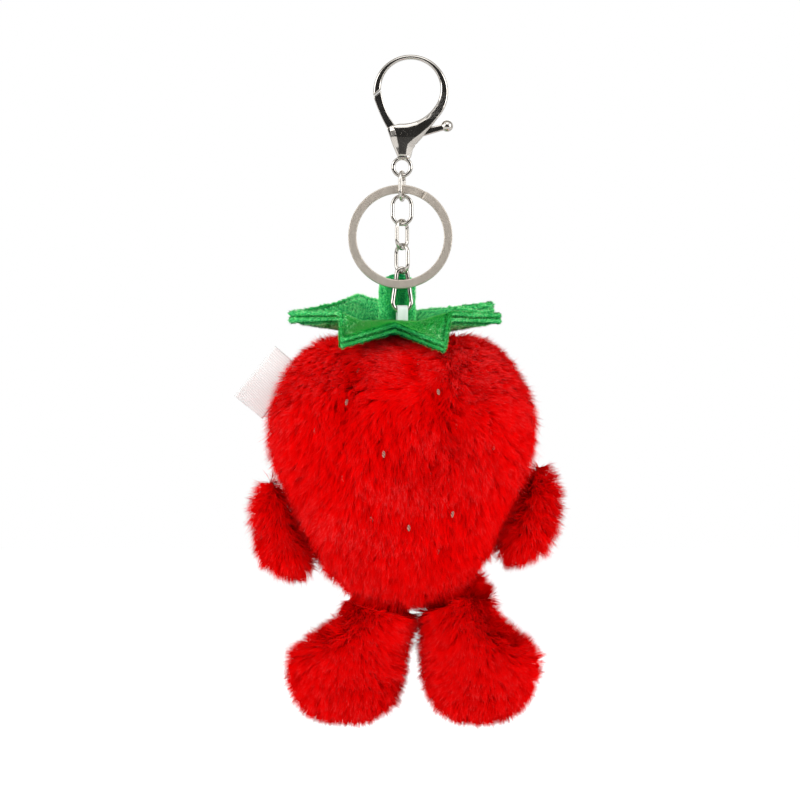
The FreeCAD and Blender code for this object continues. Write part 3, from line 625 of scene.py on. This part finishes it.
# Painted light and shade on the nap of the cap and stem, as shifts of its tone.
shadeLooks = {
    "crushSize": 3.5 * mm, "crushSeed": 3, "crush": 0.1, "front": 0.3, "back": -0.26, "faceFrom": 1.5 * mm,
    "valleyAt": -1.0 * mm, "valleyWide": 6 * mm, "valleyReach": 2.6 * mm, "valley": 0.4, "hem": 0.5, "upper": 0.16,
    "level": 0.04, "chainWide": 2.6 * mm, "chain": 0.45, "stem": -0.04, "stemFront": 0.3,
}


def rimLine(node):  # the cap layer's outline, as points close together along its rim
    layer = mergedCopy(node)
    places = placesOf(layer)
    layer.free()
    out = places - capCentre
    places = places[np.hypot(out[:, 0], out[:, 1]) > velvetLooks["rimFrom"]]
    angle = np.round(np.arctan2(places[:, 1] - capCentre[1], places[:, 0] - capCentre[0]), 4)
    corners = np.array([places[angle == step].mean(0) for step in np.unique(angle)])
    share = np.linspace(0, 1, velvetLooks["rimSteps"], endpoint=False)[None, :, None]
    return (corners[:, None] * (1 - share) + np.roll(corners, -1, axis=0)[:, None] * share).reshape(-1, 3)


def fromRim(points, rim):  # how far each point is from the rim, and the number of the rim's nearest point
    tree = treeOf(rim)
    found = [tree.find(spot) for spot in points]
    return np.array([gap for _, _, gap in found]), np.array([number for _, number, _ in found])


def hemOf(gap):  # 1 on the hem's stitch line, which runs along the rim, 0 away from it
    return np.exp(-((gap - velvetLooks["hemIn"]) / velvetLooks["hemWide"]) ** 2)


def napComb(points, normals):  # brushed out from the cap's middle
    way = alongSkin(points - (capCentre - np.array([0, 0, velvetLooks["combDrop"]])), normals)
    return unit(way), np.ones(len(points)), np.ones(len(points))


def capShade(points, normals):  # painted shade in the hem's crease and the front valley, painted light on the front faces and painted shade on the back faces away from the rim, painted light on upward faces and painted shade under them, random crushed mottle
    looks = shadeLooks
    gap, _ = fromRim(points, capRim)
    crushAndShade = drift(points, looks["crushSize"], looks["crushSeed"])[:, 0] * looks["crush"]
    front = points[:, 1] < 0
    # painted light on the front faces, painted shade on the back faces, both fading out at the rim
    face = np.where(front, looks["front"], looks["back"]) * np.clip((gap - looks["faceFrom"]) / mm, 0, 1)
    side = (points[:, 0] - looks["valleyAt"]) / looks["valleyWide"]
    valley = np.exp(-(side**2) - (gap / looks["valleyReach"]) ** 2) * front * looks["valley"]
    # painted shade in the hem's crease, painted light on upward faces and painted shade under them
    return looks["level"] + face - valley - looks["hem"] * hemOf(gap) + looks["upper"] * normals[:, 2] + crushAndShade


def stemShade(points, normals):  # painted shade down the middle of the stem on all but its back-turned faces, and a slightly darker tone all over
    looks = shadeLooks
    # painted shade down the stem's middle
    crushAndShade = np.exp(-((points[:, 0] - looks["valleyAt"]) / looks["chainWide"]) ** 2) * looks["chain"]
    return looks["stem"] - np.where(normals[:, 1] < looks["stemFront"], crushAndShade, 0)


def hemCloth(shape, looks):  # a crease along the hem, a bead at the rim that grows towards the tips, and puckers
    places = placesOf(shape)
    gap, step = fromRim(places, capRim)
    wave = np.sin(step * looks["puckers"][0]) * np.sin(step * looks["puckers"][1]) * np.exp(-gap / looks["puckerReach"])
    reach = np.linalg.norm((places - capCentre)[:, :2], axis=1)
    bead = looks["swell"] + np.clip(reach - looks["tipFrom"], 0, 1) * looks["tipSwell"]
    bead *= np.exp(-((gap / looks["swellWide"]) ** 2))
    shape.normal_update()
    for vert, out, swell in zip(shape.verts, bead - hemOf(gap) * looks["hemDeep"], wave * looks["pucker"]):
        vert.co += vert.normal * float(out)
        vert.co.z += float(swell)


for number, (name, node) in enumerate([("capUpper", "leaf_cap_top"), ("capLining", "leaf_cap_lining"),
                                      ("stemVelvet", "stem_velvet")]):
    shape = softShell([node], velvetLooks["voxel"], velvetLooks["thin"], velvetLooks["rounds"])
    shade = stemShade
    if name != "stemVelvet":
        capRim = rimLine(node)
        hemCloth(shape, velvetLooks)
        shade = capShade
    cloth = newPiece(name, shape, greenCloth, "strawberry")
    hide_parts(node)
    growPile([name + "Nap"], cloth.data, {**napPile, "seed": napPile["seed"] + number, "shade": shade}, napComb,
             greenNap, "strawberry")
print("cap made")

# Care label: a bare strip of white tape, sewn in the side seam.
labelLooks = {"reach": 10.5 * mm, "length": 18.6 * mm, "side": -42.5 * mm, "drop": 89.4 * mm, "turn": 39,
              "curl": 0.9 * mm, "curls": 4.4, "curlFrom": 0.6, "thick": 0.25 * mm, "cells": (14, 24)}


def careLabel(looks):
    strip = bmesh.new()
    bmesh.ops.create_grid(strip, x_segments=looks["cells"][0], y_segments=looks["cells"][1], size=0.5)
    turn = math.radians(looks["turn"])
    for vert in strip.verts:
        reach, along = (vert.co.x + 0.5) * looks["reach"], vert.co.y * looks["length"]
        out = 1 - reach / looks["reach"]  # the free edge curls, and the sewn one lies flat
        wave = looks["curl"] * out * math.sin(along / looks["length"] * looks["curls"] + looks["curlFrom"]) * out
        vert.co = (looks["side"] + reach * math.cos(turn) + along * math.sin(turn), wave,
                   -looks["drop"] - reach * math.sin(turn) + along * math.cos(turn))
    bmesh.ops.recalc_face_normals(strip, faces=strip.faces)
    label = newPiece("careLabel", strip, labelCloth, "strawberry")
    wall = label.modifiers.new("tape", "SOLIDIFY")
    wall.thickness, wall.offset = looks["thick"], 0
    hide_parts("care_label")
    return label


careLabel(labelLooks)

# Clasp castings: flat faces with rounded edges. The hub's face is a V-shaped facet that runs down
# into the neck and slopes away at its sides and, more softly, towards the hook's inside.
castLooks = {
    "voxel": 0.14 * mm, "rounds": 4, "drop": 0.85, "sample": 0.06 * mm, "slope": 0.55, "softSlope": 0.2, "softUp": 0.6,
    "most": 0.85, "sharp": 0.5, "pivot": Vector((0.6 * mm, 0, -21.4 * mm)), "holeWide": 1.6 * mm, "seamWide": 0.15,
    "plug": 1.15 * mm, "plugFace": 2.0 * mm, "plugDeep": 0.8 * mm, "plugSides": 24,
    "seams": (((-2.7, -24.4), (3.2, -25.4)), ((9.25, -13.47), (11.01, -15.78))),
    "facet": ((-2.0, -19.9), (-1.4, -22.3), (-0.85, -24.9), (-0.8, -28.4), (0.8, -28.3), (1.2, -25.9), (1.6, -24.3),
              (3.5, -22.6), (6.2, -20.3), (8.8, -18.2), (10.6, -16.0), (9.6, -15.0), (7.4, -17.4), (4.6, -19.0),
              (1.6, -19.8)),
    "hubTop": -14.5, "hubFade": 2, "edgeShare": 0.3, "rimGap": 0.3, "turned": 0.5, "neckTop": -23.8, "neckFace": 0.8,
}
# For each casting, in mm: the front face's least depth, the width of its rounded edge, the half
# thickness at each height, and the centre (X, Z) and radius of the round part that stays as it is.
castings = {
    "clasp_body": {"name": "claspCasting", "body": "clasp", "face": 1.28, "bevel": 0.52,
                   "levels": ((-28, 1.45), (-22, 2.46), (-17, 2.46), (-9, 1.7)), "round": (0, -30.65, 3.35)},
    "clasp_gate": {"name": "gateCasting", "body": "gate", "face": 1.05, "bevel": 0.28,
                   "levels": ((-30, 1.1), (0, 1.1)), "round": (13, -18.8, 1.9)},
}


def besideOutline(places, sides):  # how far each place is from the nearest of the sides, and which way
    starts, ends = (np.array([side[n] for side in sides]) for n in range(2))
    along = ends - starts
    gap = places[:, None] - starts[None]
    share = np.clip((gap * along).sum(2) / (along**2).sum(1), 0, 1)
    apart = gap - along * share[:, :, None]
    far = np.linalg.norm(apart, axis=2)
    nearest = far.argmin(1)
    rows = np.arange(len(places))
    return far[rows, nearest], apart[rows, nearest]


def outsideFacet(places, facet):  # 0 inside the facet, else the distance from it, and how far up that points
    sides = list(zip(facet, facet[1:] + facet[:1]))
    far, apart = besideOutline(places, sides)
    crossed = np.zeros(len(places), int)
    for (x1, z1), (x2, z2) in sides:
        level = (z1 > places[:, 1]) != (z2 > places[:, 1])
        crossed += level & (places[:, 0] < x1 + (places[:, 1] - z1) * (x2 - x1) / (z2 - z1))
    return np.where(crossed % 2 == 1, 0, far), apart[:, 1] / np.maximum(far, 1e-9)


def rimOf(shape, face, looks):  # points along the front rim, without the rivet's hole and the seams
    rim = []
    for edge in shape.edges:
        first, second = (vert.co for vert in edge.verts)
        middle = (first + second) / 2
        if (max(first.y, second.y) > -face * mm or edge.calc_face_angle(0) < looks["sharp"]
                or math.hypot(middle.x - looks["pivot"].x, middle.z - looks["pivot"].z) < looks["holeWide"]):
            continue
        apart, _ = besideOutline(np.array([[middle.x, middle.z]]) / mm, looks["seams"])
        if apart[0] < looks["seamWide"]:
            continue
        steps = max(1, int((second - first).length / looks["sample"]))
        rim += [first.lerp(second, step / steps) for step in range(steps)]
    return rim


def plugRivetHole(shape, looks):  # the rivet's ends are polished flush, so the hub's faces run across them
    for side in (-1, 1):
        place = Matrix.Translation(looks["pivot"] + Vector((0, side * looks["plugFace"], 0)))
        bmesh.ops.create_cone(shape, cap_ends=True, segments=looks["plugSides"], radius1=looks["plug"],
                              radius2=looks["plug"], depth=looks["plugDeep"],
                              matrix=place @ Matrix.Rotation(math.pi / 2, 4, "X"))


# Each point of the front and back faces goes to its own depth: the level at its height, less the
# rounded edge near the rim, less the slope outside the facet.
def castPiece(node, looks):
    cast = castings[node]
    shape = mergedCopy(node)
    tree = treeOf([(spot.x, 0, spot.z) for spot in rimOf(shape, cast["face"], looks)])
    if node == "clasp_body":
        plugRivetHole(shape, looks)
    shape = remeshed(shape, looks["voxel"])
    shape.normal_update()
    places = placesOf(shape) / mm
    half, side = np.abs(places[:, 1]), np.sign(places[:, 1])
    facing = np.array([vert.normal.y for vert in shape.verts]) * side
    gap = np.array([tree.find((vert.co.x, 0, vert.co.z))[2] for vert in shape.verts]) / mm
    edge = np.clip(1 - gap / cast["bevel"], 0, 1) ** 2 * cast["bevel"] * looks["drop"]
    if node == "clasp_body":
        far, up = outsideFacet(places[:, [0, 2]], looks["facet"])
        fall = np.where(up > looks["softUp"], looks["softSlope"] * far**2, looks["slope"] * far)
        hub = np.clip((looks["hubTop"] - places[:, 2]) / looks["hubFade"], 0, 1)
        edge = np.maximum(edge, np.minimum(fall, looks["most"]) * hub + edge * looks["edgeShare"])
    target = np.interp(places[:, 2], *zip(*cast["levels"])) - edge
    wall = (np.abs(facing) <= looks["turned"]) & (gap < looks["rimGap"])
    wanted = np.where(wall, np.minimum(half, target), target)
    middleX, middleZ, radius = cast["round"]
    free = np.hypot(places[:, 0] - middleX, places[:, 2] - middleZ) > radius
    least = np.where(places[:, 2] > looks["neckTop"], cast["face"], looks["neckFace"])
    moved = free & (facing > -looks["turned"]) & (half > least)
    for vert, y in zip(shape.verts, np.where(moved, wanted, half) * side):
        vert.co.y = float(y) * mm
    shape = smoothed(remeshed(shape, looks["voxel"]), looks["rounds"])
    casting = newPiece(cast["name"], shape, nickel, cast["body"])
    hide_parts(node)


castPiece("clasp_body", castLooks)
castPiece("clasp_gate", castLooks)

# The split ring: flat spring wire with its corners rubbed round.
ringLooks = {"voxel": 0.13 * mm, "rounds": 2}
ringWire = newPiece("splitRingWire", softShell(["split_ring"], ringLooks["voxel"], 0, ringLooks["rounds"]),
                    satinRing, "key_ring")
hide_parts("split_ring")
print("clasp and ring made")

# CAD pieces that keep their shape, each with its finish and the width of its softened edges in mm.
keptLooks = {
    "clasp_rivet": (nickel, 0.2), "clasp_spring": (springSteel, 0), "connector_ring": (nickel, 0),
    "hanging_ribbon": (paleRibbon, 0.05), "stem_stuffing": (polyesterFill, 0),
    **{f"chain_link_{n}": (nickel, 0) for n in range(1, 5)},
}
bevelLooks = {"segments": 3, "from": 32}
for node, (finish, edge) in keptLooks.items():
    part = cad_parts[node]
    part.data.materials.clear()
    part.data.materials.append(finish.owner)
    weld = part.modifiers.new("weld", "WELD")
    weld.merge_threshold = weldGap
    if edge:
        bevel = part.modifiers.new("edges", "BEVEL")
        bevel.width, bevel.segments, bevel.limit_method = edge * mm, bevelLooks["segments"], "ANGLE"
        bevel.angle_limit = math.radians(bevelLooks["from"])
        bevel.use_clamp_overlap = True
print("CAD pieces finished")


# Floor, surroundings, lamps and camera. Metal sees the surroundings as bands, dark at the viewer's
# side (0), bright at the sides and grey behind (1), and the floor in front of it as dark.
stageLooks = {
    "floor": -0.245, "floorSize": 3, "floorPale": 0.85, "floorDark": 0.06, "floorGlow": 0.6,
    "darkBefore": -0.5, "paleFrom": -0.36, "around": 0.55,
    "bands": ((0.0, 0.03), (0.08, 0.03), (0.2, 1.0), (0.36, 1.0), (0.5, 0.25), (0.6, 0.25), (0.72, 0.8), (1.0, 0.9)),
    "distance": 1.25, "across": -0.00058, "height": -0.09778, "wide": 0.2305, "film": 36, "clip": (0.01, 20),
    "aim": Vector((0, 0, -0.1)),
}
ground = bmesh.new()
bmesh.ops.create_grid(ground, x_segments=1, y_segments=1, size=stageLooks["floorSize"])
bmesh.ops.translate(ground, verts=ground.verts, vec=(0, 0, stageLooks["floor"]))
paleFloor = newFinish("paleFloor", Roughness=0.9, Specular_IOR_Level=0.1, Emission_Color=(1, 1, 1, 1))
inView = paleFloor.node("ShaderNodeLightPath", out="Is Camera Ray")
inMetal = paleFloor.node("ShaderNodeLightPath", out="Is Glossy Ray")
depth = paleFloor.node("ShaderNodeSeparateXYZ", {}, {0: paleFloor.here()}, out=1)
front = paleFloor.node("ShaderNodeMapRange", {}, {0: depth, 1: stageLooks["darkBefore"], 2: stageLooks["paleFrom"],
                                                  3: 1.0, 4: 0.0})
pale, dark = ((stageLooks[key],) * 3 + (1,) for key in ("floorPale", "floorDark"))
paleFloor.surface(Base_Color=paleFloor.blendColours(inMetal * front, pale, dark),
                  Emission_Strength=inView * stageLooks["floorGlow"])
floor = newPiece("floor", ground, paleFloor, None)

world = bpy.data.worlds.new("surroundings")
scene.world = world
air = Shader(world)
towards = air.node("ShaderNodeSeparateXYZ", {}, {0: air.node("ShaderNodeTexCoord", out=0)}, out=1)
bands = [(place, (glow, glow, glow, 1)) for place, glow in stageLooks["bands"]]
seen, mirrored, passed = (air.node("ShaderNodeLightPath", out=f"Is {ray} Ray")
                          for ray in ("Camera", "Glossy", "Transmission"))
glossy = air.node("ShaderNodeValToRGB", {"stops": bands}, {0: towards * 0.5 + 0.5}) * mirrored
strength = air.node("ShaderNodeMath", {"operation": "MAXIMUM"},
                    {0: seen + passed + glossy, 1: (1 - mirrored) * stageLooks["around"]})
sky = air.tree.nodes["Background"]
sky.inputs["Color"].default_value = (1, 1, 1, 1)
air.plug(sky.inputs["Strength"], strength)

# Each lamp's place, power in watts and width.
lamps = {
    "leftSoftbox": ((-0.85, -0.5, 0.2), 5.2, 0.7), "rightSoftbox": ((0.85, -0.5, 0.15), 5.2, 0.7),
    "topSoftbox": ((0.05, -0.75, 0.62), 2.6, 0.7), "backSoftbox": ((0.0, 1.1, 0.5), 2.4, 0.8),
}
for name, (place, power, size) in lamps.items():
    lamp = bpy.data.lights.new(name, "AREA")
    lamp.energy, lamp.size = power, size
    holder = bpy.data.objects.new(name, lamp)
    holder.location = place
    holder.rotation_euler = (stageLooks["aim"] - Vector(place)).to_track_quat("-Z", "Y").to_euler()
    scene.collection.objects.link(holder)

lens = bpy.data.cameras.new("camera")
lens.sensor_width = stageLooks["film"]
lens.lens = stageLooks["film"] * stageLooks["distance"] / stageLooks["wide"]
lens.clip_start, lens.clip_end = stageLooks["clip"]
camera = bpy.data.objects.new("camera", lens)
camera.location = (stageLooks["across"], -stageLooks["distance"], stageLooks["height"])
camera.rotation_euler = (math.radians(90), 0, 0)
scene.collection.objects.link(camera)
scene.camera = camera
scene.view_settings.view_transform = "Standard"
print("stage set")
